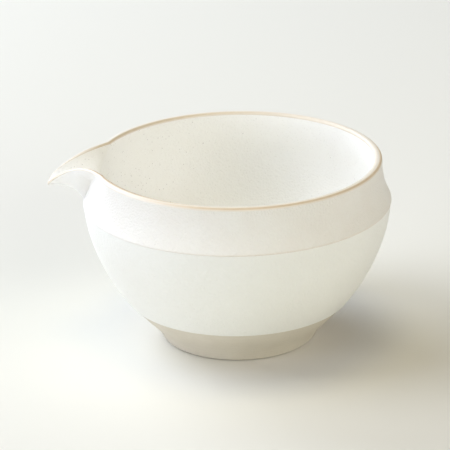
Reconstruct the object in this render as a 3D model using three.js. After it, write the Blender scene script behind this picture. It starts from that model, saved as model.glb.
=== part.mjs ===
// A spouted tea bowl in stoneware: a thrown wall on a luted foot ring, a pouring spout set into a notch in
// the wall, a white glaze inside and out, a second dip above the belly and an iron wash over the lip.
// Millimetres, +Z up, the spout along -X. The origin is on the table, under the middle of the bowl's box.
import * as THREE from "three";

// Clay wall, measured on the bare clay
const bellyRadius = 60.7; // outside, at the widest line
const bellyHeight = 56.8; // table to the widest line, where the second dip starts
const bellyWall = 4.2;
const neckHeight = 16.75; // widest line to the middle of the lip's rounded edge
const neckDrawIn = 3.8; // how far the neck comes in from the belly to the outside of the rim
const lipWidth = 1.9;
const lipRounding = 0.66; // how far the lip's rounded edge is pulled out, as a share of its width
const floorThickness = 6;
const flankLean = 42.5; // degrees from level, where the wall leaves the foot
const flankPull = 32.6; // how far the flank keeps that lean
const bellyPull = 6; // how far the flank runs upright into the belly
const shoulderPull = 0.8; // how far the shoulder stays upright above the belly, outside
const neckPull = 11; // how far the neck runs straight down from the lip, outside
const floorPull = 38; // how far the inside floor stays level from the middle
const insidePull = 20; // how far the inside runs upright below the belly
const insideShoulderPull = 4; // and above it
const insideNeckPull = 8.5; // how far the inside runs straight down from the lip

// Foot ring
const footHeight = 5;
const footTopRadius = 33.4;
const footBaseRadius = 31.8;
const footRingWidth = 6.5; // where it stands
const footChamfer = 0.7;

// Spout, measured along the middle of its clay lip
const spoutSpread = 20.5; // degrees either side of the spout, where its lip leaves the rim
const spoutReach = 18.65; // from the middle of the rim's lip to the middle of the tip's
const spoutDrop = 9; // how far the tip lies below the rim
const spoutLipWidth = 1.2; // at the tip
const flareRun = 11.3; // how the lip leaves the rim: outwards,
const flareBreadth = 2.5; // in to this far beside the middle,
const flareRise = 2.6; // and upwards
const noseLead = 0.4; // how the lip comes round the tip: outwards,
const noseBreadth = 6.5; // to each side,
const noseRise = 1.9; // and upwards
const creaseEase = 0.5; // how the crease between spout and wall climbs from the belly to the rim
const reachEase = 1.12; // how softly the spout leaves the wall at that crease
const dropEase = 2.25; // how late it gives up the wall's height
const tiltEase = 0.75; // how late the spout's edge lies over, from upright at the rim to level at the tip

// Coats
const glazeLine = 16.9; // height where the outside glaze stops above the bare foot
const outerGlaze = 0.45;
const secondDip = 0.35;
const liningGlaze = 0.45;
const rimWash = 0.3;

// Facets
const flankRows = 4; // glaze line to belly
const footRows = 2; // foot to glaze line
const neckRows = 6; // belly to lip, inside and outside
const lipRows = 4; // over the lip
const floorRows = 5; // inside, belly to the middle of the floor
const spoutColumns = 10; // rim to tip, each side
const sideColumns = 8; // spout to the bowl's side, each side
const backColumns = 10; // the bowl's side to its back, each side
const ringColumns = 48;

// Finishes
const stoneware = { color: "#b8ae97", roughness: 0.88, metalness: 0 };
const whiteGlaze = { color: "#ebe8dd", roughness: 0.5, metalness: 0 };
const dipGlaze = { color: "#e1dccf", roughness: 0.55, metalness: 0 };
const ironWash = { color: "#8d6b4c", roughness: 0.6, metalness: 0 };

const radians = THREE.MathUtils.degToRad;
const up = new THREE.Vector3(0, 0, 1);
const rimRadius = bellyRadius - neckDrawIn;
const lipRadius = rimRadius - lipWidth / 2;
const lipCentre = bellyHeight + neckHeight;
const floorTop = footHeight + floorThickness;
const footRecessRadius = footBaseRadius - footRingWidth;
const flankRun = flankPull * Math.cos(radians(flankLean));
const flankRise = flankPull * Math.sin(radians(flankLean));

// A point of the bowl from its turn round the axis, counted from the spout, its radius and its height.
function turned(angle, radius, height) {
  return new THREE.Vector3(-radius * Math.cos(angle), -radius * Math.sin(angle), height);
}

function profile(...corners) {
  return new THREE.CubicBezierCurve(...corners.map(([radius, height]) => new THREE.Vector2(radius, height)));
}

// The flank rises from the foot to the belly. The inside runs from the middle of the floor to the belly.
const flank = profile(
  [footTopRadius, footHeight],
  [footTopRadius + flankRun, footHeight + flankRise],
  [bellyRadius, bellyHeight - bellyPull],
  [bellyRadius, bellyHeight],
);
const inside = profile(
  [0, floorTop],
  [floorPull, floorTop],
  [bellyRadius - bellyWall, bellyHeight - insidePull],
  [bellyRadius - bellyWall, bellyHeight],
);

// Where along the flank a given height lies.
function flankAt(height) {
  const halvings = 40;
  let low = 0;
  let high = 1;
  for (let halving = 0; halving < halvings; halving += 1) {
    const middle = (low + high) / 2;
    if (flank.getPoint(middle).y < height) {
      low = middle;
    } else {
      high = middle;
    }
  }
  return low;
}

function shares(count) {
  return Array.from({ length: count + 1 }, (_, step) => step / count);
}

// The lip, station by station round the rim: its middle, the level direction out of the bowl, its width,
// and its tilt, a right angle where the wall's edge stands upright and zero where it lies level.
function rimStation(angle) {
  return {
    middle: turned(angle, lipRadius, lipCentre),
    out: turned(angle, 1, 0),
    width: lipWidth,
    tilt: Math.PI / 2,
  };
}

const spoutRoot = turned(radians(spoutSpread), lipRadius, lipCentre);
const spoutTip = new THREE.Vector3(-lipRadius - spoutReach, 0, lipCentre - spoutDrop);
const spoutEdge = new THREE.CubicBezierCurve3(
  spoutRoot,
  new THREE.Vector3(spoutRoot.x - flareRun, -flareBreadth, spoutRoot.z + flareRise),
  new THREE.Vector3(spoutTip.x - noseLead, -noseBreadth, spoutTip.z + noseRise),
  spoutTip,
);

function spoutStation(share) {
  const middle = spoutEdge.getPoint(share);
  const along = spoutEdge.getTangent(share);
  const fallen = THREE.MathUtils.clamp((lipCentre - middle.z) / spoutDrop, 0, 1);
  return {
    middle,
    out: new THREE.Vector3(-along.y, along.x, 0).normalize(),
    width: THREE.MathUtils.lerp(lipWidth, spoutLipWidth, share),
    tilt: (Math.PI / 2) * (1 - fallen) ** tiltEase,
  };
}

function mirrored(station) {
  const flip = new THREE.Vector3(1, -1, 1);
  return {
    ...station,
    middle: station.middle.clone().multiply(flip),
    out: station.out.clone().multiply(flip),
  };
}

// One half of the lip from the tip round to the back, then the other half from the back to the tip.
const halfLip = [
  ...shares(spoutColumns).map((share) => spoutStation(1 - share)),
  ...shares(sideColumns).slice(1).map((share) =>
    rimStation(THREE.MathUtils.lerp(radians(spoutSpread), Math.PI / 2, share))),
  ...shares(backColumns).slice(1).map((share) => rimStation(Math.PI / 2 + share * (Math.PI / 2))),
];
const stations = [...halfLip, ...halfLip.slice(1, -1).reverse().map(mirrored)];
const columnCount = stations.length;

// The neck's profile on the plain wall: upright off the belly, then in to the rim and upright again.
function neck(bellyEnd, rimEnd, pullAtBelly, pullAtLip) {
  return profile(
    [bellyEnd, bellyHeight],
    [bellyEnd, bellyHeight + pullAtBelly],
    [rimEnd, lipCentre - pullAtLip],
    [rimEnd, lipCentre],
  );
}

const outerNeck = neck(bellyRadius, rimRadius, shoulderPull, neckPull);
const innerNeck = neck(bellyRadius - bellyWall, rimRadius - lipWidth, insideShoulderPull, insideNeckPull);

// At the spout the neck is pushed out towards the lip's edge there: not at all below the crease, and all
// the way at the lip. The crease starts at the belly in the middle of the spout and meets the rim beside it.
function pushed(flat, rimEnd, edge, station) {
  const crease = Math.min(1, Math.abs(station.middle.y / spoutRoot.y)) ** creaseEase;
  const climbed = (flat.y - bellyHeight) / (lipCentre - bellyHeight);
  const share = climbed > crease ? (climbed - crease) / (1 - crease) : 0;
  const fill = 1 + Math.sin(station.tilt) * (1 - share);
  const reach = fill * share ** reachEase * (Math.hypot(edge.x, edge.y) - rimEnd);
  const rise = fill * share ** dropEase * (edge.z - lipCentre);
  return new THREE.Vector2(flat.x + reach, flat.y + rise);
}

// One section of the clay, from under the floor, up the outside, over the lip and down the inside.
function section(station) {
  const { middle, out, width, tilt } = station;
  const across = out.clone().multiplyScalar(Math.sin(tilt)).addScaledVector(up, -Math.cos(tilt));
  const onward = out.clone().multiplyScalar(Math.cos(tilt)).addScaledVector(up, Math.sin(tilt));
  const outerEdge = middle.clone().addScaledVector(across, width / 2);
  const innerEdge = middle.clone().addScaledVector(across, -width / 2);
  const outerTurn = Math.atan2(-outerEdge.y, -outerEdge.x);
  const innerTurn = Math.atan2(-innerEdge.y, -innerEdge.x);
  const lip = new THREE.CubicBezierCurve3(
    outerEdge,
    outerEdge.clone().addScaledVector(onward, lipRounding * width),
    innerEdge.clone().addScaledVector(onward, lipRounding * width),
    innerEdge,
  );
  const glazeStart = flankAt(glazeLine);
  const outerFlat = [
    ...shares(footRows).map((share) => flank.getPoint(share * glazeStart)),
    ...shares(flankRows).slice(1).map((share) => flank.getPoint(THREE.MathUtils.lerp(glazeStart, 1, share))),
    ...shares(neckRows).slice(1, -1).map((share) =>
      pushed(outerNeck.getPoint(share), rimRadius, outerEdge, station)),
  ];
  const innerFlat = [
    ...shares(neckRows).slice(1).map((share) =>
      pushed(innerNeck.getPoint(1 - share), rimRadius - lipWidth, innerEdge, station)),
    ...shares(floorRows).slice(1).map((share) => inside.getPoint(1 - share)),
  ];
  return [
    turned(outerTurn, 0, footHeight),
    turned(outerTurn, footRecessRadius, footHeight),
    ...outerFlat.map((flat) => turned(outerTurn, flat.x, flat.y)),
    ...shares(lipRows).map((share) => lip.getPoint(share)),
    ...innerFlat.map((flat) => turned(innerTurn, flat.x, flat.y)),
  ];
}

// The clay's surface as a grid: one section for each column, and these rows along it.
const clay = stations.map(section);
const footEdgeRow = 2; // after the middle of the underside and the edge of the foot's recess
const glazeRow = footEdgeRow + footRows;
const bellyRow = glazeRow + flankRows;
const outerLipRow = bellyRow + neckRows;
const innerLipRow = outerLipRow + lipRows;
const insideBellyRow = innerLipRow + neckRows;
const floorRow = insideBellyRow + floorRows;

// The outward direction at a point of the grid. The middle of the floor has no turn, so it faces up.
function facing(column, row) {
  if (row === floorRow) return up;
  const next = clay[(column + 1) % columnCount][row];
  const last = clay[(column + columnCount - 1) % columnCount][row];
  const round = next.clone().sub(last);
  const along = clay[column][row + 1].clone().sub(clay[column][row - 1]);
  return round.cross(along).normalize();
}

// The same grid lifted off the clay, by a thickness given for each row.
function lifted(thicknessAt) {
  return clay.map((points, column) => points.map((point, row) => {
    const thickness = thicknessAt(row);
    return thickness > 0 ? point.clone().addScaledVector(facing(column, row), thickness) : point;
  }));
}

function apart(a, b) {
  const samePlace = 1e-6;
  return a.distanceTo(b) > samePlace;
}

// Facets are gathered as corner triples. A quad that shrinks to a point at the axis loses a triangle.
function addQuad(corners, a, b, c, d) {
  for (const [p, q, r] of [[a, b, c], [a, c, d]]) {
    if (apart(p, q) && apart(q, r) && apart(r, p)) {
      corners.push(p, q, r);
    }
  }
}

// A quad facing out of the clay or into it, cut along the same diagonal either way.
function addFacing(corners, outwards, a, b, c, d) {
  if (outwards) {
    addQuad(corners, a, b, c, d);
  } else {
    addQuad(corners, a, d, c, b);
  }
}

// A stretch of the grid between two rows, over a run of columns, facing out of the clay or into it.
function addSkin(corners, grid, columns, fromRow, toRow, outwards = true) {
  for (const column of columns) {
    const here = grid[column];
    const next = grid[(column + 1) % columnCount];
    for (let row = fromRow; row < toRow; row += 1) {
      addFacing(corners, outwards, here[row], next[row], next[row + 1], here[row + 1]);
    }
  }
}

// The strip that joins a row of one grid to a row of another, right round or over a run of columns.
function addStrip(corners, lower, lowerRow, upper, upperRow, columns, outwards = true) {
  for (const column of columns) {
    const next = (column + 1) % columnCount;
    addFacing(corners, outwards, lower[column][lowerRow], lower[next][lowerRow],
      upper[next][upperRow], upper[column][upperRow]);
  }
}

// The cut through the wall at one column, above the belly, facing on along the columns or back.
function addCut(corners, column, onwards) {
  const points = clay[column];
  let low = bellyRow;
  let high = insideBellyRow;
  while (low < high) {
    addFacing(corners, !onwards, points[low], points[low + 1], points[high - 1], points[high]);
    low += 1;
    high -= 1;
  }
}

function named(name, geometry, finish) {
  geometry.computeVertexNormals();
  const mesh = new THREE.Mesh(geometry, new THREE.MeshStandardMaterial(finish));
  mesh.name = name;
  return mesh;
}

function fromCorners(corners) {
  return new THREE.BufferGeometry().setFromPoints(corners);
}

const everyColumn = stations.map((_, column) => column);
const lastSpoutColumn = spoutColumns;
const firstSpoutColumn = columnCount - spoutColumns;
const notchColumns = everyColumn.filter((column) => column < lastSpoutColumn || column >= firstSpoutColumn);
const wallColumns = everyColumn.filter((column) => !notchColumns.includes(column));

// The wall: all of the clay below the belly, and the neck except where the notch is cut for the spout.
function bowlWall() {
  const corners = [];
  addSkin(corners, clay, everyColumn, 0, bellyRow);
  addSkin(corners, clay, wallColumns, bellyRow, insideBellyRow);
  addSkin(corners, clay, everyColumn, insideBellyRow, floorRow);
  addStrip(corners, clay, bellyRow, clay, insideBellyRow, notchColumns);
  addCut(corners, lastSpoutColumn, false);
  addCut(corners, firstSpoutColumn, true);
  return named("bowl_wall", fromCorners(corners), stoneware);
}

// The spout fills the notch face to face and runs out to its tip.
function pouringSpout() {
  const corners = [];
  addSkin(corners, clay, notchColumns, bellyRow, insideBellyRow);
  addStrip(corners, clay, bellyRow, clay, insideBellyRow, notchColumns, false);
  addCut(corners, lastSpoutColumn, true);
  addCut(corners, firstSpoutColumn, false);
  return named("pouring_spout", fromCorners(corners), stoneware);
}

// The foot ring, turned, with chamfered edges where it stands.
function footRing() {
  const outline = [
    [footRecessRadius, footHeight],
    [footRecessRadius, footChamfer],
    [footRecessRadius + footChamfer, 0],
    [footBaseRadius - footChamfer, 0],
    [footBaseRadius, footChamfer],
    [footTopRadius, footHeight],
    [footRecessRadius, footHeight],
  ];
  const points = outline.map(([radius, height]) => new THREE.Vector2(radius, height));
  const geometry = new THREE.LatheGeometry(points, ringColumns).rotateX(Math.PI / 2);
  return named("foot_ring", geometry, stoneware);
}

// How high the surface stands over the clay after each coat.
const glazed = lifted((row) => (row >= glazeRow && row <= outerLipRow ? outerGlaze : 0));
const dipped = lifted((row) => (row >= bellyRow && row <= outerLipRow ? outerGlaze + secondDip : 0));
const lined = lifted((row) => (row >= innerLipRow ? liningGlaze : 0));
const washed = lifted((row) => {
  if (row === outerLipRow) return outerGlaze + secondDip;
  if (row === innerLipRow) return liningGlaze;
  return row > outerLipRow && row < innerLipRow ? rimWash : 0;
});

function outerGlazeCoat() {
  const corners = [];
  addSkin(corners, glazed, everyColumn, glazeRow, outerLipRow);
  addSkin(corners, clay, everyColumn, glazeRow, outerLipRow, false);
  addStrip(corners, clay, glazeRow, glazed, glazeRow, everyColumn);
  addStrip(corners, clay, outerLipRow, glazed, outerLipRow, everyColumn, false);
  return named("outer_glaze", fromCorners(corners), whiteGlaze);
}

function secondDipCoat() {
  const corners = [];
  addSkin(corners, dipped, everyColumn, bellyRow, outerLipRow);
  addSkin(corners, glazed, everyColumn, bellyRow, outerLipRow, false);
  addStrip(corners, glazed, bellyRow, dipped, bellyRow, everyColumn);
  addStrip(corners, glazed, outerLipRow, dipped, outerLipRow, everyColumn, false);
  return named("second_dip_glaze", fromCorners(corners), dipGlaze);
}

function liningGlazeCoat() {
  const corners = [];
  addSkin(corners, lined, everyColumn, innerLipRow, floorRow);
  addSkin(corners, clay, everyColumn, innerLipRow, floorRow, false);
  addStrip(corners, clay, innerLipRow, lined, innerLipRow, everyColumn);
  return named("lining_glaze", fromCorners(corners), whiteGlaze);
}

// The wash lies on the clay lip and meets the ends of the coats on both sides.
function rimWashCoat() {
  const corners = [];
  addSkin(corners, washed, everyColumn, outerLipRow, innerLipRow);
  addSkin(corners, clay, everyColumn, outerLipRow, innerLipRow, false);
  addStrip(corners, clay, outerLipRow, glazed, outerLipRow, everyColumn);
  addStrip(corners, glazed, outerLipRow, dipped, outerLipRow, everyColumn);
  addStrip(corners, clay, innerLipRow, lined, innerLipRow, everyColumn, false);
  return named("rim_wash", fromCorners(corners), ironWash);
}

const bowl = new THREE.Group();
bowl.add(bowlWall(), footRing(), pouringSpout());
bowl.add(liningGlazeCoat(), outerGlazeCoat(), secondDipCoat(), rimWashCoat());
const span = new THREE.Box3().setFromObject(bowl);
bowl.position.x = -(span.min.x + span.max.x) / 2;

const part = new THREE.Group();
part.add(bowl);

export default part;
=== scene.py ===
import math

import bmesh
import bpy
from mathutils import Matrix, Vector


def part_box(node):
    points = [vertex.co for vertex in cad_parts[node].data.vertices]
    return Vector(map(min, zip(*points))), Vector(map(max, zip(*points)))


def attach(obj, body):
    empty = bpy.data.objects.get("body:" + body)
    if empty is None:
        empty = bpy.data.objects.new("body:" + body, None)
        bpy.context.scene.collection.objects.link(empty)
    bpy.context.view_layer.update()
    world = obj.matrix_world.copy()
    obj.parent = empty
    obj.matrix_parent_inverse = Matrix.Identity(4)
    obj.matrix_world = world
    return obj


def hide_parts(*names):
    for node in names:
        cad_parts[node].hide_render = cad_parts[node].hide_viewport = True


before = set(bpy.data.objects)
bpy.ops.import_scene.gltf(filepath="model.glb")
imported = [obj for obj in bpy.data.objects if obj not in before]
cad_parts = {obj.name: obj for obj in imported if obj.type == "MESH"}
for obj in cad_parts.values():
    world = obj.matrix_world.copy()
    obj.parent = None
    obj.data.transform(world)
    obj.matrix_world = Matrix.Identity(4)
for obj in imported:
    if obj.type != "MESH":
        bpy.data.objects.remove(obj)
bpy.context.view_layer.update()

mm = 0.001
scene = bpy.context.scene
scene.view_settings.view_transform = "Standard"
footLow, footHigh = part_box("foot_ring")
bowlAxis = (footLow.x + footHigh.x) / 2  # the wall and foot are turned about this line
print("frame loaded, bowl axis at x =", round(bowlAxis / mm, 2), "mm")


# camera, set up as the photograph was taken: a long lens, a little above the bowl
camera = {
    "lens": 192.0,
    "sensor": 36.0,
    "place": Vector((30.43, -894.93, 397.07)) * mm,
    "right": Vector((0.999532, 0.024827, -0.017878)),
    "up": Vector((0.007562, 0.365727, 0.930691)),
}


def setCamera(view):
    data = bpy.data.cameras.new("photoCamera")
    data.lens = view["lens"]
    data.sensor_width = view["sensor"]
    eye = bpy.data.objects.new("photoCamera", data)
    turn = Matrix((view["right"], view["up"], view["right"].cross(view["up"]))).transposed()
    eye.matrix_world = Matrix.Translation(view["place"]) @ turn.to_4x4()
    scene.collection.objects.link(eye)
    scene.camera = eye


setCamera(camera)


# colours are written as sRGB hex
def colour(hexCode):
    channels = [int(hexCode[i:i + 2], 16) / 255 for i in (1, 3, 5)]
    linear = [c / 12.92 if c <= 0.04045 else ((c + 0.055) / 1.055) ** 2.4 for c in channels]
    return (*linear, 1.0)


def addNode(tree, kind, links=None, **settings):
    node = tree.nodes.new(kind)
    for name, value in settings.items():
        setattr(node, name, value)
    for socket, source in (links or {}).items():
        if isinstance(source, bpy.types.NodeSocket):
            tree.links.new(source, node.inputs[socket])
        else:
            node.inputs[socket].default_value = source
    return node


def newMaterial(name):
    material = bpy.data.materials.new(name)
    material.use_nodes = True
    return material, material.node_tree, material.node_tree.nodes["Principled BSDF"]


# thrown clay, in millimetres, bare of glaze
clay = {
    "bellyRadius": 60.7,
    "bellyHeight": 56.8,
    "bellyWall": 4.2,
    "neckHeight": 16.75,
    "neckDrawIn": 3.8,
    "lipWidth": 1.9,
    "lipRounding": 0.66,  # pull of the lip's round edge, as a share of its width
    "floorTop": 11.0,
    "flankLean": math.radians(42.5),
    "flankPull": 32.6,
    "bellyPull": 6.0,
    "shoulderPull": 0.8,
    "neckPull": 11.0,
    "floorPull": 38.0,
    "insidePull": 20.0,
    "insideShoulderPull": 4.0,
    "insideNeckPull": 8.5,
    "glazeLine": 16.9,  # the outside glaze stops here
}
foot = {
    "height": 5.0,
    "topRadius": 33.4,
    "baseRadius": 31.3,
    "recessRadius": 25.3,
    "flareTop": 12.0,  # the foot runs up into the wall's own curve here
    "flareLean": math.radians(68),
    "flarePull": 5.0,
    "undercut": (1.2, 0.6),  # in and up, where the edge is cut back off the table
    "edgeRound": 0.15,
    "edgeSteps": 4,
    "sideSteps": 8,
    "turns": 192,
}
spout = {
    "spread": math.radians(20.5),
    "reach": 19.1,
    "drop": 9.4,
    "lipWidth": 0.6,  # pinched thin at the tip
    "lipEase": 0.5,
    "flare": (11.3, 2.5, 2.6),  # how the lip leaves the rim: out, beside the middle, up
    "nose": (0.4, 6.5, 1.9),  # how it comes round the tip
    "creaseEase": 0.5,
    "keelRound": 0.14,  # share of the spread over which the two sides round into each other
    "keelEase": 1.5,
    "creaseSoft": 0.1,  # share of the pull over which it sets in, at the rim: the crease is a soft one
    "reachEase": 1.18,
    "dropEase": 2.4,
    "channelDropEase": 2.7,  # the channel's floor falls later, so it turns down towards the tip
    "tiltEase": 0.75,
    "turnOver": math.radians(8.7),  # the lip turns into the spout over this much of the rim
}
coats = {
    "outer": 0.45,
    "secondDip": 0.35,
    "lining": 0.45,
    "wash": 0.3,
    "edge": 0.06,  # thinnest, at a coat's lower edge
    "glazeRound": 0.6,  # how far the lower edges are rounded, up the wall
    "dipRound": 0.3,
    "washShoulder": 0.4,  # share of the lip over which the wash rises to the coats beside it
    "thinLeft": 0.4,  # share of each coat left on the spout's edge, where it ran thin
    "thinRun": (1.5, 6.0),  # mm from the crest: thin up to here, full from there
    "thinBeyond": 14,  # columns past the spout where the coats are full again
}
fineness = {
    "spoutColumns": 56,
    "sideColumns": 70,
    "backColumns": 72,
    "footRows": 10,
    "bareRows": 4,
    "flankRows": 22,
    "neckRows": 24,
    "lipRows": 14,
    "floorRows": 26,
}

rimRadius = clay["bellyRadius"] - clay["neckDrawIn"]
lipRadius = rimRadius - clay["lipWidth"] / 2
lipHeight = clay["bellyHeight"] + clay["neckHeight"]
insideBelly = clay["bellyRadius"] - clay["bellyWall"]
halfTurn = fineness["spoutColumns"] + fineness["sideColumns"] + fineness["backColumns"]
columnCount = 2 * halfTurn
up = Vector((0, 0, 1))
nudge = 1e-4  # a small step along a curve, to find its heading
halvings = 40  # of a curve, to find where it passes a height
weld = 1e-4  # mm, points closer than this become one
slack = 1e-3  # mm, heights and radii closer than this are the same
sharpAngle = math.radians(40)  # edges sharper than this are shaded as edges


def along(corners, share):
    a, b, c, d = (Vector(corner) for corner in corners)
    rest = 1 - share
    return a * rest**3 + b * (3 * rest**2 * share) + c * (3 * rest * share**2) + d * share**3


def turned(angle, radius, height):
    return Vector((-radius * math.cos(angle), -radius * math.sin(angle), height))


def neckCurve(bellyEnd, rimEnd, pullAtBelly, pullAtLip):
    return (
        (bellyEnd, clay["bellyHeight"]),
        (bellyEnd, clay["bellyHeight"] + pullAtBelly),
        (rimEnd, lipHeight - pullAtLip),
        (rimEnd, lipHeight),
    )


flankCurve = (
    (foot["topRadius"], foot["height"]),
    (
        foot["topRadius"] + clay["flankPull"] * math.cos(clay["flankLean"]),
        foot["height"] + clay["flankPull"] * math.sin(clay["flankLean"]),
    ),
    (clay["bellyRadius"], clay["bellyHeight"] - clay["bellyPull"]),
    (clay["bellyRadius"], clay["bellyHeight"]),
)
insideCurve = (
    (insideBelly, clay["bellyHeight"]),
    (insideBelly, clay["bellyHeight"] - clay["insidePull"]),
    (clay["floorPull"], clay["floorTop"]),
    (0, clay["floorTop"]),
)
outerNeck = neckCurve(clay["bellyRadius"], rimRadius, clay["shoulderPull"], clay["neckPull"])
innerNeck = neckCurve(
    insideBelly, rimRadius - clay["lipWidth"], clay["insideShoulderPull"], clay["insideNeckPull"],
)


def shareAtHeight(curve, height):
    low, high = 0.0, 1.0
    for halving in range(halvings):
        middle = (low + high) / 2
        if along(curve, middle).y < height:
            low = middle
        else:
            high = middle
    return low


glazeStart = shareAtHeight(flankCurve, clay["glazeLine"])
flareEnd = shareAtHeight(flankCurve, foot["flareTop"])


# the foot's outside flares from its base up into the wall
def flareCurve():
    base = Vector((foot["baseRadius"], foot["undercut"][1]))
    leaning = Vector((math.cos(foot["flareLean"]), math.sin(foot["flareLean"])))
    top = along(flankCurve, flareEnd)
    heading = (along(flankCurve, flareEnd + nudge) - top).normalized()
    return (base, base + leaning * foot["flarePull"], top - heading * foot["flarePull"], top)


footCurve = flareCurve()
ringTop = shareAtHeight(footCurve, foot["height"])


def steps(count):
    return [step / count for step in range(count + 1)]


# the rows of every section, from under the floor, up the outside, over the lip and down the inside.
# A row is a zone and a share of that zone's curve, or under the floor a radius
def sectionRows():
    glazeEdge = [0.003, 0.007, 0.013]  # close rows where the glaze's lower edge is rounded
    flank = sorted(glazeEdge + steps(fineness["flankRows"])[1:])
    bare = steps(fineness["bareRows"])[-2::-1]
    section = [("under", 0.0), ("under", foot["recessRadius"])]
    section += [("flare", ringTop + share * (1 - ringTop)) for share in steps(fineness["footRows"])]
    section += [("flank", glazeStart - share * (glazeStart - flareEnd)) for share in bare]
    section += [("flank", glazeStart + share * (1 - glazeStart)) for share in flank]
    section += [("outerNeck", share) for share in steps(fineness["neckRows"])[1:-1]]
    section += [("lip", share) for share in steps(fineness["lipRows"])]
    section += [("innerNeck", 1 - share) for share in steps(fineness["neckRows"])[1:]]
    section += [("inside", share) for share in steps(fineness["floorRows"])[1:]]
    return section


rows = sectionRows()
rowOf = {
    "glaze": rows.index(("flank", glazeStart)),
    "belly": rows.index(("flank", 1.0)),
    "outerLip": rows.index(("lip", 0.0)),
    "innerLip": rows.index(("lip", 1.0)),
    "insideBelly": rows.index(("innerNeck", 0.0)),
    "floor": len(rows) - 1,
}
spoutRoot = turned(spout["spread"], lipRadius, lipHeight)
spoutTip = Vector((-lipRadius - spout["reach"], 0, lipHeight - spout["drop"]))
spoutEdge = (
    spoutRoot,
    Vector((spoutRoot.x - spout["flare"][0], -spout["flare"][1], spoutRoot.z + spout["flare"][2])),
    Vector((spoutTip.x - spout["nose"][0], -spout["nose"][1], spoutTip.z + spout["nose"][2])),
    spoutTip,
)


# the lip at one column: its middle, the level way out, its width and its tilt
def spoutStation(share):
    middle = along(spoutEdge, share)
    heading = along(spoutEdge, share + nudge) - along(spoutEdge, share - nudge)
    fallen = min(1.0, max(0.0, (lipHeight - middle.z) / spout["drop"]))
    return {
        "middle": middle,
        "out": Vector((-heading.y, heading.x, 0)).normalized(),
        "width": clay["lipWidth"] + (spout["lipWidth"] - clay["lipWidth"]) * share ** spout["lipEase"],
        "tilt": math.pi / 2 * (1 - fallen) ** spout["tiltEase"],
    }


def rimStation(angle):
    settled = min(1.0, (angle - spout["spread"]) / spout["turnOver"])
    out = spoutStation(0.0)["out"].lerp(turned(angle, 1, 0), settled)
    return {
        "middle": turned(angle, lipRadius, lipHeight),
        "out": out.normalized(),
        "width": clay["lipWidth"],
        "tilt": math.pi / 2,
    }


def lipStation(column):
    beyond = column - fineness["spoutColumns"]
    if beyond <= 0:
        return spoutStation(-beyond / fineness["spoutColumns"])
    if beyond <= fineness["sideColumns"]:
        share = beyond / fineness["sideColumns"]
        return rimStation(spout["spread"] + share * (math.pi / 2 - spout["spread"]))
    share = (beyond - fineness["sideColumns"]) / fineness["backColumns"]
    return rimStation(math.pi / 2 * (1 + share))


# the spout is pulled out of the neck: nothing below the crease moves, and the lip goes all the way
def pulled(flat, rimEnd, edge, station, dropEase):
    across = min(1.0, abs(station["middle"].y / spoutRoot.y))
    keel = spout["keelRound"]
    across *= (across**2 * (1 + keel**2) / (across**2 + keel**2)) ** spout["keelEase"]
    crease = across ** spout["creaseEase"]
    climbed = (flat.y - clay["bellyHeight"]) / clay["neckHeight"]
    share = (climbed - crease) / (1 - crease) if climbed > crease else 0.0
    soft = max(nudge, spout["creaseSoft"] * crease)
    share = (share - soft * (1 - math.exp(-share / soft))) / (1 - soft * (1 - math.exp(-1 / soft)))
    fill = 1 + math.sin(station["tilt"]) * (1 - share)
    radius = flat.x + fill * share ** spout["reachEase"] * (edge.xy.length - rimEnd)
    height = flat.y + fill * share ** dropEase * (edge.z - lipHeight)
    return radius, height


def sectionAt(column):
    mirrored = column > halfTurn
    station = lipStation(columnCount - column if mirrored else column)
    across = station["out"] * math.sin(station["tilt"]) - up * math.cos(station["tilt"])
    onward = station["out"] * math.cos(station["tilt"]) + up * math.sin(station["tilt"])
    outerEdge = station["middle"] + across * (station["width"] / 2)
    innerEdge = station["middle"] - across * (station["width"] / 2)
    bulge = onward * (clay["lipRounding"] * station["width"])
    lipCurve = (outerEdge, outerEdge + bulge, innerEdge + bulge, innerEdge)
    outerTurn = math.atan2(-outerEdge.y, -outerEdge.x)
    innerTurn = math.atan2(-innerEdge.y, -innerEdge.x)
    innerRim = rimRadius - clay["lipWidth"]
    places = []
    for zone, share in rows:
        if zone == "under":
            place = turned(outerTurn, share, foot["height"])
        elif zone == "flare":
            place = turned(outerTurn, *along(footCurve, share))
        elif zone == "flank":
            place = turned(outerTurn, *along(flankCurve, share))
        elif zone == "outerNeck":
            flat = along(outerNeck, share)
            drawn = pulled(flat, rimRadius, outerEdge, station, spout["dropEase"])
            place = turned(outerTurn, *drawn)
        elif zone == "lip":
            place = along(lipCurve, share)
        elif zone == "innerNeck":
            flat = along(innerNeck, share)
            drawn = pulled(flat, innerRim, innerEdge, station, spout["channelDropEase"])
            place = turned(innerTurn, *drawn)
        else:
            place = turned(innerTurn, *along(insideCurve, share))
        if mirrored:
            place.y = -place.y
        places.append(place)
    return places


# how far each place of a section lies along it
def runAlong(places):
    run = [0.0]
    for here, after in zip(places, places[1:]):
        run.append(run[-1] + (after - here).length)
    return run


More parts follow.
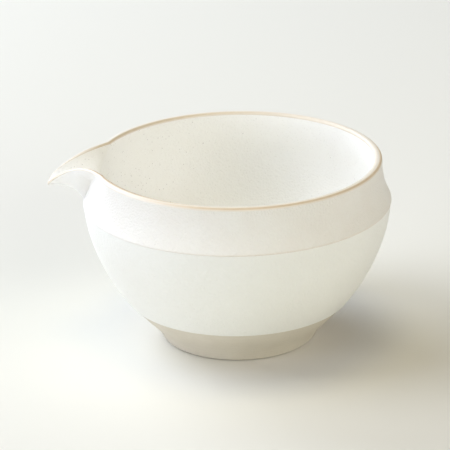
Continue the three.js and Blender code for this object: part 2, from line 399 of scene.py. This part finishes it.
# the clay's whole skin: a section spun round, then each column drawn to its place on the lip
def claySkin():
    spinRadius = 1.0  # mm, keeps the section's ends off the axis until each point has its column
    skin = bmesh.new()
    rowTag = skin.verts.layers.int.new("row")
    columnTag = skin.verts.layers.int.new("column")
    liftTag = skin.verts.layers.float_vector.new("lift")
    lipTag = skin.verts.layers.float.new("fromLip")
    plain = sectionAt(halfTurn)
    profile = []
    for row, place in enumerate(plain):
        vert = skin.verts.new((-max(place.x, spinRadius), 0, place.z))
        vert[rowTag] = row
        profile.append(vert)
    for lower, higher in zip(profile, profile[1:]):
        skin.edges.new((lower, higher))
    bmesh.ops.spin(
        skin, geom=skin.verts[:] + skin.edges[:], cent=(0, 0, 0), axis=(0, 0, 1),
        angle=2 * math.pi, steps=columnCount, use_merge=True,
    )
    sections = [sectionAt(column) for column in range(columnCount)]
    runs = [runAlong(places) for places in sections]
    crestRow = (rowOf["outerLip"] + rowOf["innerLip"]) // 2
    for vert in skin.verts:
        turn = math.atan2(-vert.co.y, -vert.co.x) % (2 * math.pi)
        column = round(turn / (2 * math.pi) * columnCount) % columnCount
        row = vert[rowTag]
        vert[columnTag] = column
        vert[lipTag] = runs[column][row] - runs[column][crestRow]  # mm, outside below zero
        vert.co = sections[column][row]
    bmesh.ops.remove_doubles(skin, verts=skin.verts[:], dist=weld)
    bmesh.ops.recalc_face_normals(skin, faces=skin.faces[:])
    skin.normal_update()
    for vert in skin.verts:
        vert[liftTag] = vert.normal
    return skin


skin = claySkin()
print("clay skin thrown and its spout pulled:", len(skin.verts), "points")


# takes the working layers off a piece, brings it to metres and to its place, hangs it on the root body and
# hides the frame's part it stands for
def finishPiece(bm, name, node, material):
    for layer in ("row", "column"):
        tag = bm.verts.layers.int.get(layer)
        if tag:
            bm.verts.layers.int.remove(tag)
    tag = bm.verts.layers.float_vector.get("lift")
    if tag:
        bm.verts.layers.float_vector.remove(tag)
    bmesh.ops.scale(bm, vec=(mm, mm, mm), verts=bm.verts[:])
    bmesh.ops.translate(bm, vec=(bowlAxis, 0, 0), verts=bm.verts[:])
    loose = sum(1 for edge in bm.edges if not edge.is_manifold)
    mesh = bpy.data.meshes.new(name)
    bm.to_mesh(mesh)
    bm.free()
    mesh.shade_smooth()
    mesh.set_sharp_from_angle(angle=sharpAngle)
    mesh.materials.append(material)
    piece = bpy.data.objects.new(name, mesh)
    scene.collection.objects.link(piece)
    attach(piece, "root")
    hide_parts(node)
    print(name, len(mesh.polygons), "faces, open edges:", loose)


def stepsFromTip(column):
    return min(column, columnCount - column)


# keeps the stretch of skin that a test on rows and columns picks
def cutFromSkin(wanted):
    bm = skin.copy()
    rowTag = bm.verts.layers.int["row"]
    columnTag = bm.verts.layers.int["column"]
    unwanted = []
    for face in bm.faces:
        faceRows = [vert[rowTag] for vert in face.verts]
        faceSteps = [stepsFromTip(vert[columnTag]) for vert in face.verts]
        if not wanted(min(faceRows), max(faceRows), max(faceSteps)):
            unwanted.append(face)
    bmesh.ops.delete(bm, geom=unwanted, context="FACES")
    return bm


def isSpout(low, high, step):
    return low >= rowOf["belly"] and high <= rowOf["insideBelly"] and step <= fineness["spoutColumns"]


# closes the notch's edges: a strip across the wall at the belly, and a cut up each side
def closeNotch(bm):
    rowTag = bm.verts.layers.int["row"]
    rim = [edge for edge in bm.edges if edge.is_boundary]
    bellies = []
    for row in (rowOf["belly"], rowOf["insideBelly"]):
        bellies += [edge for edge in rim if all(vert[rowTag] == row for vert in edge.verts)]
    bmesh.ops.bridge_loops(bm, edges=bellies)
    bmesh.ops.holes_fill(bm, edges=[edge for edge in bm.edges if edge.is_boundary], sides=0)
    bmesh.ops.recalc_face_normals(bm, faces=bm.faces[:])


def eased(share):
    share = min(1.0, max(0.0, share))
    return share * share * (3 - 2 * share)


# how much of a coat is left: glaze runs thin over the spout's edge
def coatLeft(fromLip, column):
    thin, full = coats["thinRun"]
    nearLip = eased((full - abs(fromLip)) / (full - thin))
    fullFrom = fineness["spoutColumns"] + coats["thinBeyond"]
    atSpout = eased((fullFrom - stepsFromTip(column)) / coats["thinBeyond"])
    return 1 - (1 - coats["thinLeft"]) * nearLip * atSpout


# a coat over a stretch of the skin, from one height over the clay to another
def coatOver(first, last, under, over):
    bm = cutFromSkin(lambda low, high, step: low >= first and high <= last)
    rowTag = bm.verts.layers.int["row"]
    columnTag = bm.verts.layers.int["column"]
    lipTag = bm.verts.layers.float["fromLip"]
    liftTag = bm.verts.layers.float_vector["lift"]
    raised = bmesh.ops.extrude_face_region(bm, geom=bm.faces[:], use_keep_orig=True)["geom"]
    raised = {item for item in raised if isinstance(item, bmesh.types.BMVert)}
    for vert in bm.verts:
        height = over(vert[rowTag]) if vert in raised else under(vert[rowTag])
        vert.co += Vector(vert[liftTag]) * height * coatLeft(vert[lipTag], vert[columnTag])
    bmesh.ops.recalc_face_normals(bm, faces=bm.faces[:])
    return bm


rowRun = runAlong(sectionAt(halfTurn))  # on the plain section, for the rounded edges of the coats


def roundedEdge(row, edgeRow, full, roundOver):
    share = min(1.0, abs(rowRun[row] - rowRun[edgeRow]) / roundOver)
    return coats["edge"] + (full - coats["edge"]) * math.sqrt(1 - (1 - share) ** 2)


# the wash is thinner than the coats beside it, and rises to them at the lip's arrises
def washHeight(row):
    share = rows[row][1]
    outerPart = eased(1 - share / coats["washShoulder"])
    innerPart = eased(1 - (1 - share) / coats["washShoulder"])
    base = coats["wash"]
    return (
        base
        + outerPart * (coats["outer"] + coats["secondDip"] - base)
        + innerPart * (coats["lining"] - base)
    )


# the width of a pattern's marks in millimetres, as the scale of a texture
def perMm(width):
    return 1 / (width * mm)


mixFactor, mixFrom, mixTo, mixResult = 0, 6, 7, 2  # a colour Mix node's sockets
detail = {  # finer layers in each noise
    "clouds": 4.0,
    "peel": 2.0,
    "breaks": 3.0,
    "turning": 2.0,
    "sand": 3.0,
}


# satin white glaze: a stiff feldspar glaze, dipped and fired. The eye gets a soft white with a dull, broad
# shine, a fine orange peel with pinholes, faint clouds where the coat pooled, and small iron specks
glazes = {
    "outer": {
        "name": "satinWhiteGlaze",
        "thick": "#efefe8",
        "thin": "#ebeae2",
        "cloudWidth": 18.0,
        "peelWidth": 1.0,
        "peelDepth": 0.34,
        "pitSpacing": 2.2,  # real pinholes are finer: drawn this coarse to show at all
        "pitWidth": 0.35,
        "pitDepth": 0.012,
        "pitShade": 0.06,
        "speckSpacing": 6.0,
        "speckWidth": 0.3,
        "speckShade": 0.3,
        "speckSpan": (60.0, -60.0),  # mm from the bowl's axis, towards +X
        "speckChance": (0.1, 0.1),  # how many cells have one, at either end
        "roughness": (0.42, 0.52),
    },
    # painted light: the same glaze as outside, drawn whiter inside the bowl, where it is brighter lit
    "lining": {
        "name": "satinWhiteLiningWithPaintedLight",
        "thick": "#f9f8f2",
        "thin": "#f5f3ec",
        "cloudWidth": 22.0,
        "peelWidth": 0.8,
        "peelDepth": 0.22,
        "pitSpacing": 1.2,
        "pitWidth": 0.4,
        "pitDepth": 0.012,
        "pitShade": 0.14,
        "speckSpacing": 1.4,
        "speckWidth": 0.27,
        "speckShade": 0.42,
        "speckSpan": (-10.0, -62.0),
        "speckChance": (0.03, 0.85),
        "roughness": (0.42, 0.52),
    },
    "secondDip": {
        "name": "secondDipGlaze",
        "thick": "#ecebe4",
        "thin": "#e7e2d9",
        "cloudWidth": 12.0,
        "peelWidth": 0.8,
        "peelDepth": 0.36,
        "pitSpacing": 1.2,
        "pitWidth": 0.4,
        "pitDepth": 0.02,
        "pitShade": 0.05,
        "speckSpacing": 5.0,
        "speckWidth": 0.3,
        "speckShade": 0.3,
        "speckSpan": (0.0, 50.0),
        "speckChance": (0.03, 0.3),
        "edgeRise": 1.1,  # mm up from the belly, where the painted shade line at the lower edge is gone
        "paintedEdgeShade": 0.24,
        "edgeShadowSpan": (-50.0, 0.0),  # mm from the bowl's axis: the painted shade line fades out towards the spout, where the wall is lit
        "paintedSpoutLight": "#f7f6f3",
        "paintedSpoutLightSpan": (-54.0, -64.0),  # painted light: the dip is drawn whiter towards the spout
        "roughness": (0.46, 0.58),
    },
}
ironBrown = "#5f4a38"
# colour of the painted shade line under the second dip's lower edge
shadowTan = "#c9ac86"
pitGrey = "#b4ac9e"
speckCore = 1 / 3  # share of a speck's radius that has its full shade


def glaze(look):
    material, tree, shader = newMaterial(look["name"])
    place = addNode(tree, "ShaderNodeTexCoord").outputs["Object"]
    parts = addNode(tree, "ShaderNodeSeparateXYZ", {"Vector": place}).outputs
    clouds = addNode(
        tree, "ShaderNodeTexNoise",
        {"Vector": place, "Scale": perMm(look["cloudWidth"]), "Detail": detail["clouds"]},
    ).outputs["Fac"]
    body = addNode(
        tree, "ShaderNodeMix",
        {mixFactor: clouds, mixFrom: colour(look["thin"]), mixTo: colour(look["thick"])},
        data_type="RGBA",
    ).outputs[mixResult]

    # pinholes: a hollow in the middle of every cell
    cells = addNode(tree, "ShaderNodeTexVoronoi", {"Vector": place, "Scale": perMm(look["pitSpacing"])})
    pits = addNode(
        tree, "ShaderNodeMapRange",
        {
            "Value": cells.outputs["Distance"],
            "From Min": 0.0,
            "From Max": look["pitWidth"] / look["pitSpacing"],
            "To Min": 1.0,
            "To Max": 0.0,
        },
        interpolation_type="SMOOTHSTEP",
    ).outputs["Result"]
    pitTint = addNode(
        tree, "ShaderNodeMath", {0: pits, 1: look["pitShade"]}, operation="MULTIPLY",
    ).outputs[0]

    # iron specks: some cells of a coarser pattern, more of them on one side
    specks = addNode(tree, "ShaderNodeTexVoronoi", {"Vector": place, "Scale": perMm(look["speckSpacing"])})
    lot = addNode(tree, "ShaderNodeSeparateColor", {"Color": specks.outputs["Color"]}).outputs["Red"]
    chance = addNode(
        tree, "ShaderNodeMapRange",
        {
            "Value": parts["X"],
            "From Min": bowlAxis + look["speckSpan"][0] * mm,
            "From Max": bowlAxis + look["speckSpan"][1] * mm,
            "To Min": look["speckChance"][0],
            "To Max": look["speckChance"][1],
        },
    ).outputs["Result"]
    chosen = addNode(tree, "ShaderNodeMath", {0: lot, 1: chance}, operation="LESS_THAN").outputs[0]
    speckRadius = look["speckWidth"] / look["speckSpacing"]
    spots = addNode(
        tree, "ShaderNodeMapRange",
        {
            "Value": specks.outputs["Distance"],
            "From Min": speckRadius * speckCore,
            "From Max": speckRadius,
            "To Min": look["speckShade"],
            "To Max": 0.0,
        },
        interpolation_type="SMOOTHSTEP",
    ).outputs["Result"]
    spots = addNode(tree, "ShaderNodeMath", {0: spots, 1: chosen}, operation="MULTIPLY").outputs[0]
    marks = [(pitTint, pitGrey), (spots, ironBrown)]

    # the second dip: painted light, whiter towards the spout; and painted shade, a thin line under its
    # rolled-back lower edge that fades out towards the spout
    if "paintedEdgeShade" in look:
        spoutLightAmount = addNode(
            tree, "ShaderNodeMapRange",
            {
                "Value": parts["X"],
                "From Min": bowlAxis + look["paintedSpoutLightSpan"][0] * mm,
                "From Max": bowlAxis + look["paintedSpoutLightSpan"][1] * mm,
            },
        ).outputs["Result"]
        edgeShadowFade = addNode(
            tree, "ShaderNodeMapRange",
            {
                "Value": parts["X"],
                "From Min": bowlAxis + look["edgeShadowSpan"][0] * mm,
                "From Max": bowlAxis + look["edgeShadowSpan"][1] * mm,
                "To Max": look["paintedEdgeShade"],
            },
        ).outputs["Result"]
        paintedEdgeShadow = addNode(
            tree, "ShaderNodeMapRange",
            {
                "Value": parts["Z"],
                "From Min": clay["bellyHeight"] * mm,
                "From Max": (clay["bellyHeight"] + look["edgeRise"]) * mm,
                "To Min": edgeShadowFade,
                "To Max": 0.0,
            },
            interpolation_type="SMOOTHSTEP",
        ).outputs["Result"]
        marks += [(spoutLightAmount, look["paintedSpoutLight"]), (paintedEdgeShadow, shadowTan)]
    for amount, shade in marks:
        body = addNode(
            tree, "ShaderNodeMix",
            {mixFactor: amount, mixFrom: body, mixTo: colour(shade)},
            data_type="RGBA",
        ).outputs[mixResult]
    tree.links.new(body, shader.inputs["Base Color"])

    # relief: the orange peel, less the pinholes
    peel = addNode(
        tree, "ShaderNodeTexNoise",
        {"Vector": place, "Scale": perMm(look["peelWidth"]), "Detail": detail["peel"]},
    ).outputs["Fac"]
    pitHeight = addNode(
        tree, "ShaderNodeMath", {0: pits, 1: look["pitDepth"] / look["peelDepth"]}, operation="MULTIPLY",
    ).outputs[0]
    height = addNode(tree, "ShaderNodeMath", {0: peel, 1: pitHeight}, operation="SUBTRACT").outputs[0]
    relief = addNode(tree, "ShaderNodeBump", {"Height": height, "Distance": look["peelDepth"] * mm})
    tree.links.new(relief.outputs["Normal"], shader.inputs["Normal"])
    dull = addNode(
        tree, "ShaderNodeMapRange",
        {"Value": clouds, "To Min": look["roughness"][0], "To Max": look["roughness"][1]},
    ).outputs["Result"]
    tree.links.new(dull, shader.inputs["Roughness"])
    return material


# iron wash: iron oxide brushed over the lip, melted into the glaze. The eye gets a thin brown line on the
# lip's arrises, where the glaze ran thin, which fades over tan to cream on the crest. Some lines are
# painted shade over the wash: darker on the arrises turned away from the lamps
washAndShadeLook = {
    "stops": ((0.0, "#e5ddcf"), (0.5, "#d9c8ae"), (1.0, "#bb9e7a")),
    # across: mm from the crest, inwards, where a line is none, full, still full and none again
    # around: degrees from +X to its middle, then degrees to each side where it is still full and where
    # gone. The first, second and fourth lines are painted shade on the arrises turned away from the lamps
    # shade: how strong it is on the rim and on the spout
    "lines": (
        {"across": (-0.35, -0.8, -1.0, -1.3), "around": (313, 45, 92), "shade": (0.72, 0.0)},
        {"across": (0.1, 0.65, 0.95, 1.35), "around": (160, 40, 115), "shade": (0.58, 0.08)},
        {"across": (-0.6, -0.15, 0.15, 0.6), "around": (180, 60, 90), "shade": (0.0, 0.36)},
        {"across": (-0.5, 0.0, 0.45, 0.9), "around": (213, 15, 50), "shade": (0.85, 0.3)},
        {"across": (-0.2, 0.6, 1.2, 2.0), "around": (0, 60, 140), "shade": (0.22, 0.0)},
    ),
    "spoutFrom": (57.2, 60.4),  # mm from the axis: still rim, all spout
    "breakWidth": 2.5,
    "breakUp": (0.75, 1.15),
    "roughness": 0.45,
}


def ironWashAndShade(look):
    material, tree, shader = newMaterial("ironWashAndShade")
    place = addNode(tree, "ShaderNodeTexCoord").outputs["Object"]
    fromLip = addNode(tree, "ShaderNodeAttribute", attribute_name="fromLip").outputs["Fac"]
    outward = addNode(
        tree, "ShaderNodeVectorMath", {0: place, 1: (bowlAxis, 0, 0)}, operation="SUBTRACT",
    ).outputs[0]
    outward = addNode(
        tree, "ShaderNodeVectorMath", {0: outward, 1: (1, 1, 0)}, operation="MULTIPLY",
    ).outputs[0]
    radius = addNode(tree, "ShaderNodeVectorMath", {0: outward}, operation="LENGTH").outputs["Value"]
    outward = addNode(tree, "ShaderNodeVectorMath", {0: outward}, operation="NORMALIZE").outputs[0]
    rimEnd, spoutStart = (distance * mm for distance in look["spoutFrom"])
    ironAndShade = None
    # each line's strength is laid round the bowl by angle: for the first, second and fourth lines this is
    # painted shade over the real wash
    for line in look["lines"]:
        none, full, fullEnd, noneEnd = line["across"]
        middle, fullTo, goneFrom = (math.radians(angle) for angle in line["around"])
        turn = addNode(
            tree, "ShaderNodeVectorMath", {0: outward, 1: (math.cos(middle), math.sin(middle), 0)},
            operation="DOT_PRODUCT",
        ).outputs["Value"]
        ramps = (  # up one side of the line, down the other, round the bowl, and out onto the spout
            (fromLip, none, full, 0.0, 1.0, "SMOOTHSTEP"),
            (fromLip, noneEnd, fullEnd, 0.0, 1.0, "SMOOTHSTEP"),
            (turn, math.cos(goneFrom), math.cos(fullTo), 0.0, 1.0, "LINEAR"),
            (radius, rimEnd, spoutStart, *line["shade"], "LINEAR"),
        )
        strength = 1.0
        for value, low, high, atLow, atHigh, kind in ramps:
            ramp = addNode(
                tree, "ShaderNodeMapRange",
                {"Value": value, "From Min": low, "From Max": high, "To Min": atLow, "To Max": atHigh},
                interpolation_type=kind,
            ).outputs["Result"]
            strength = addNode(
                tree, "ShaderNodeMath", {0: strength, 1: ramp}, operation="MULTIPLY",
            ).outputs[0]
        if ironAndShade:
            strength = addNode(
                tree, "ShaderNodeMath", {0: ironAndShade, 1: strength}, operation="MAXIMUM",
            ).outputs[0]
        ironAndShade = strength

    # the brush leaves the line broken
    breaks = addNode(
        tree, "ShaderNodeTexNoise",
        {"Vector": place, "Scale": perMm(look["breakWidth"]), "Detail": detail["breaks"]},
    ).outputs["Fac"]
    breaks = addNode(
        tree, "ShaderNodeMapRange",
        {"Value": breaks, "To Min": look["breakUp"][0], "To Max": look["breakUp"][1]},
    ).outputs["Result"]
    ironAndShade = addNode(
        tree, "ShaderNodeMath", {0: ironAndShade, 1: breaks}, operation="MULTIPLY", use_clamp=True,
    ).outputs[0]
    ramp = addNode(tree, "ShaderNodeValToRGB", {"Fac": ironAndShade})
    stops = ramp.color_ramp.elements
    stops.new(look["stops"][1][0])
    for stop, (position, hexCode) in zip(stops, look["stops"]):
        stop.position = position
        stop.color = colour(hexCode)
    tree.links.new(ramp.outputs["Color"], shader.inputs["Base Color"])
    shader.inputs["Roughness"].default_value = look["roughness"]
    return material


# bare stoneware: buff clay with fine grog, turned with a tool and fired without glaze. The eye gets a
# matte, sandy greige with darker grains and faint turning lines round the foot and in its recess
stonewareLook = {
    "light": "#dfd9c9",
    "dark": "#d4ccbb",
    "patchWidth": 9.0,
    "lineWidth": 0.9,
    "lineShade": 0.12,
    "lineDepth": 0.03,
    "sandWidth": 0.5,
    "sandDepth": 0.03,
    "grainSpacing": 1.6,
    "grainWidth": 0.45,  # the real grog is finer: drawn this coarse to show
    "grainShade": 0.1,
    "grainColour": "#75664f",
    "roughness": 0.86,
    "sheen": 0.2,
}


def bareStoneware(look):
    material, tree, shader = newMaterial("bareStoneware")
    place = addNode(tree, "ShaderNodeTexCoord").outputs["Object"]
    patches = addNode(
        tree, "ShaderNodeTexNoise",
        {"Vector": place, "Scale": perMm(look["patchWidth"]), "Detail": detail["clouds"]},
    ).outputs["Fac"]
    body = addNode(
        tree, "ShaderNodeMix",
        {mixFactor: patches, mixFrom: colour(look["dark"]), mixTo: colour(look["light"])},
        data_type="RGBA",
    ).outputs[mixResult]

    # turning lines run round the axis: the pattern knows only the radius and the height
    centred = addNode(
        tree, "ShaderNodeVectorMath", {0: place, 1: (bowlAxis, 0, 0)}, operation="SUBTRACT",
    ).outputs[0]
    parts = addNode(tree, "ShaderNodeSeparateXYZ", {"Vector": centred}).outputs
    flat = addNode(tree, "ShaderNodeCombineXYZ", {"X": parts["X"], "Y": parts["Y"]}).outputs[0]
    radius = addNode(tree, "ShaderNodeVectorMath", {0: flat}, operation="LENGTH").outputs["Value"]
    profile = addNode(tree, "ShaderNodeCombineXYZ", {"X": radius, "Y": parts["Z"]}).outputs[0]
    turning = addNode(
        tree, "ShaderNodeTexNoise",
        {"Vector": profile, "Scale": perMm(look["lineWidth"]), "Detail": detail["turning"]},
    ).outputs["Fac"]
    lineTint = addNode(
        tree, "ShaderNodeMath", {0: turning, 1: look["lineShade"]}, operation="MULTIPLY",
    ).outputs[0]

    # grog: a darker grain in the middle of every cell
    cells = addNode(tree, "ShaderNodeTexVoronoi", {"Vector": place, "Scale": perMm(look["grainSpacing"])})
    grains = addNode(
        tree, "ShaderNodeMapRange",
        {
            "Value": cells.outputs["Distance"],
            "From Max": look["grainWidth"] / look["grainSpacing"],
            "To Min": look["grainShade"],
            "To Max": 0.0,
        },
        interpolation_type="SMOOTHSTEP",
    ).outputs["Result"]
    for amount in (lineTint, grains):
        body = addNode(
            tree, "ShaderNodeMix",
            {mixFactor: amount, mixFrom: body, mixTo: colour(look["grainColour"])},
            data_type="RGBA",
        ).outputs[mixResult]
    tree.links.new(body, shader.inputs["Base Color"])

    # relief: the sand and the turning lines
    sand = addNode(
        tree, "ShaderNodeTexNoise",
        {"Vector": place, "Scale": perMm(look["sandWidth"]), "Detail": detail["sand"]},
    ).outputs["Fac"]
    lines = addNode(
        tree, "ShaderNodeMath",
        {0: turning, 1: look["lineDepth"] / look["sandDepth"]},
        operation="MULTIPLY",
    ).outputs[0]
    height = addNode(tree, "ShaderNodeMath", {0: sand, 1: lines}, operation="ADD").outputs[0]
    relief = addNode(tree, "ShaderNodeBump", {"Height": height, "Distance": look["sandDepth"] * mm})
    tree.links.new(relief.outputs["Normal"], shader.inputs["Normal"])
    shader.inputs["Roughness"].default_value = look["roughness"]
    shader.inputs["Specular IOR Level"].default_value = look["sheen"]
    return material


stoneware = bareStoneware(stonewareLook)
white = glaze(glazes["outer"])
lining = glaze(glazes["lining"])
second = glaze(glazes["secondDip"])
wash = ironWashAndShade(washAndShadeLook)
print("materials mixed")


wall = cutFromSkin(lambda low, high, step: not isSpout(low, high, step))
closeNotch(wall)
finishPiece(wall, "bowlWall", "bowl_wall", stoneware)

lip = cutFromSkin(isSpout)
closeNotch(lip)
finishPiece(lip, "pouringSpout", "pouring_spout", stoneware)

finishPiece(
    coatOver(
        rowOf["glaze"], rowOf["outerLip"],
        lambda row: 0.0,
        lambda row: roundedEdge(row, rowOf["glaze"], coats["outer"], coats["glazeRound"]),
    ),
    "outerGlaze", "outer_glaze", white,
)
finishPiece(
    coatOver(
        rowOf["belly"], rowOf["outerLip"],
        lambda row: coats["outer"],
        lambda row: coats["outer"]
        + roundedEdge(row, rowOf["belly"], coats["secondDip"], coats["dipRound"]),
    ),
    "secondDipGlaze", "second_dip_glaze", second,
)
finishPiece(
    coatOver(
        rowOf["innerLip"], rowOf["floor"],
        lambda row: 0.0,
        lambda row: coats["lining"],
    ),
    "liningGlaze", "lining_glaze", lining,
)
finishPiece(
    coatOver(rowOf["outerLip"], rowOf["innerLip"], lambda row: 0.0, washHeight),
    "rimWash", "rim_wash", wash,
)


# the foot ring is turned: its outline is spun, and its standing edges are rounded
def footRing():
    bm = bmesh.new()
    inset, lift = foot["undercut"]
    outline = [
        (foot["recessRadius"], foot["height"]),
        (foot["recessRadius"], 0),
        (foot["baseRadius"] - inset, 0),
    ]
    outline += [tuple(along(footCurve, share * ringTop)) for share in steps(foot["sideSteps"])]
    verts = [bm.verts.new((radius, 0, height)) for radius, height in outline]
    for here, after in zip(verts, verts[1:] + verts[:1]):
        bm.edges.new((here, after))
    bmesh.ops.spin(
        bm, geom=bm.verts[:] + bm.edges[:], cent=(0, 0, 0), axis=(0, 0, 1),
        angle=2 * math.pi, steps=foot["turns"], use_merge=True,
    )
    bmesh.ops.remove_doubles(bm, verts=bm.verts[:], dist=weld)
    bmesh.ops.recalc_face_normals(bm, faces=bm.faces[:])
    standing = []
    for edge in bm.edges:
        low = all(vert.co.z < lift + slack for vert in edge.verts)
        radii = [vert.co.xy.length for vert in edge.verts]
        if low and abs(radii[0] - radii[1]) < slack:
            standing.append(edge)
    bmesh.ops.bevel(
        bm, geom=standing, offset=foot["edgeRound"], offset_type="OFFSET", affect="EDGES",
        segments=foot["edgeSteps"], profile=0.5, material=-1, clamp_overlap=True,
    )
    return bm


finishPiece(footRing(), "footRing", "foot_ring", stoneware)
skin.free()


# uncoated paper, a wide sheet to stand on. The eye gets an even, pale ground with no shine
paper = {
    "size": 4.0,  # metres from its middle to each side
    "colour": "#e8e6dd",
    "roughness": 0.9,
    "sheen": 0.0,
}


def paperFloor():
    bm = bmesh.new()
    bmesh.ops.create_grid(bm, x_segments=1, y_segments=1, size=paper["size"])
    mesh = bpy.data.meshes.new("paperFloor")
    bm.to_mesh(mesh)
    bm.free()
    material, _, shader = newMaterial("palePaper")
    shader.inputs["Base Color"].default_value = colour(paper["colour"])
    shader.inputs["Roughness"].default_value = paper["roughness"]
    shader.inputs["Specular IOR Level"].default_value = paper["sheen"]
    mesh.materials.append(material)
    floor = bpy.data.objects.new("paperFloor", mesh)
    scene.collection.objects.link(floor)


paperFloor()


# soft studio light: cool windows to the left and behind, a plain fill in front, weak warm bounces
lights = {
    "aim": Vector((0, 0, 40)) * mm,
    "away": 2.0,  # metres
    "lamps": {  # degrees round the bowl from +X, degrees up, metres wide, watts, tint
        "windowBehind": (130, 30, 1.4, 30.6, "#e4eeff"),
        "windowLeft": (180, 48, 1.4, 25.0, "#ebf2ff"),
        "leftLow": (204, 6, 1.4, 25.8, "#ebeeff"),
        "frontFill": (302, 16, 1.4, 15.4, "#fcfff5"),
        "rightBounce": (335, 30, 1.4, 8.2, "#fff2f4"),
        "ceilingBounce": (180, 90, 0.9, 8.4, "#fff1c0"),
    },
    "room": "#e7e8e3",
}


def areaLamp(name, place, size, power, tint):
    data = bpy.data.lights.new(name, "AREA")
    data.shape = "DISK"
    data.size = size
    data.energy = power
    data.color = colour(tint)[:3]
    lamp = bpy.data.objects.new(name, data)
    lamp.location = place
    lamp.rotation_mode = "QUATERNION"
    lamp.rotation_quaternion = (lights["aim"] - place).to_track_quat("-Z", "Y")
    scene.collection.objects.link(lamp)


for lampName, (around, above, size, power, tint) in lights["lamps"].items():
    turn, rise = math.radians(around), math.radians(above)
    heading = Vector((math.cos(turn) * math.cos(rise), math.sin(turn) * math.cos(rise), math.sin(rise)))
    areaLamp(lampName, lights["aim"] + heading * lights["away"], size, power, tint)


# the room is pale where it is seen or mirrored, and the lamps alone light the bowl
def paleRoom():
    world = bpy.data.worlds.new("studio")
    scene.world = world
    world.use_nodes = True
    tree = world.node_tree
    rays = addNode(tree, "ShaderNodeLightPath").outputs
    seen = rays["Is Camera Ray"]
    for mirrored in ("Is Glossy Ray", "Is Transmission Ray"):
        seen = addNode(
            tree, "ShaderNodeMath", {0: seen, 1: rays[mirrored]}, operation="MAXIMUM",
        ).outputs[0]
    background = tree.nodes["Background"]
    background.inputs["Color"].default_value = colour(lights["room"])
    tree.links.new(seen, background.inputs["Strength"])


paleRoom()
print("floor and light set")
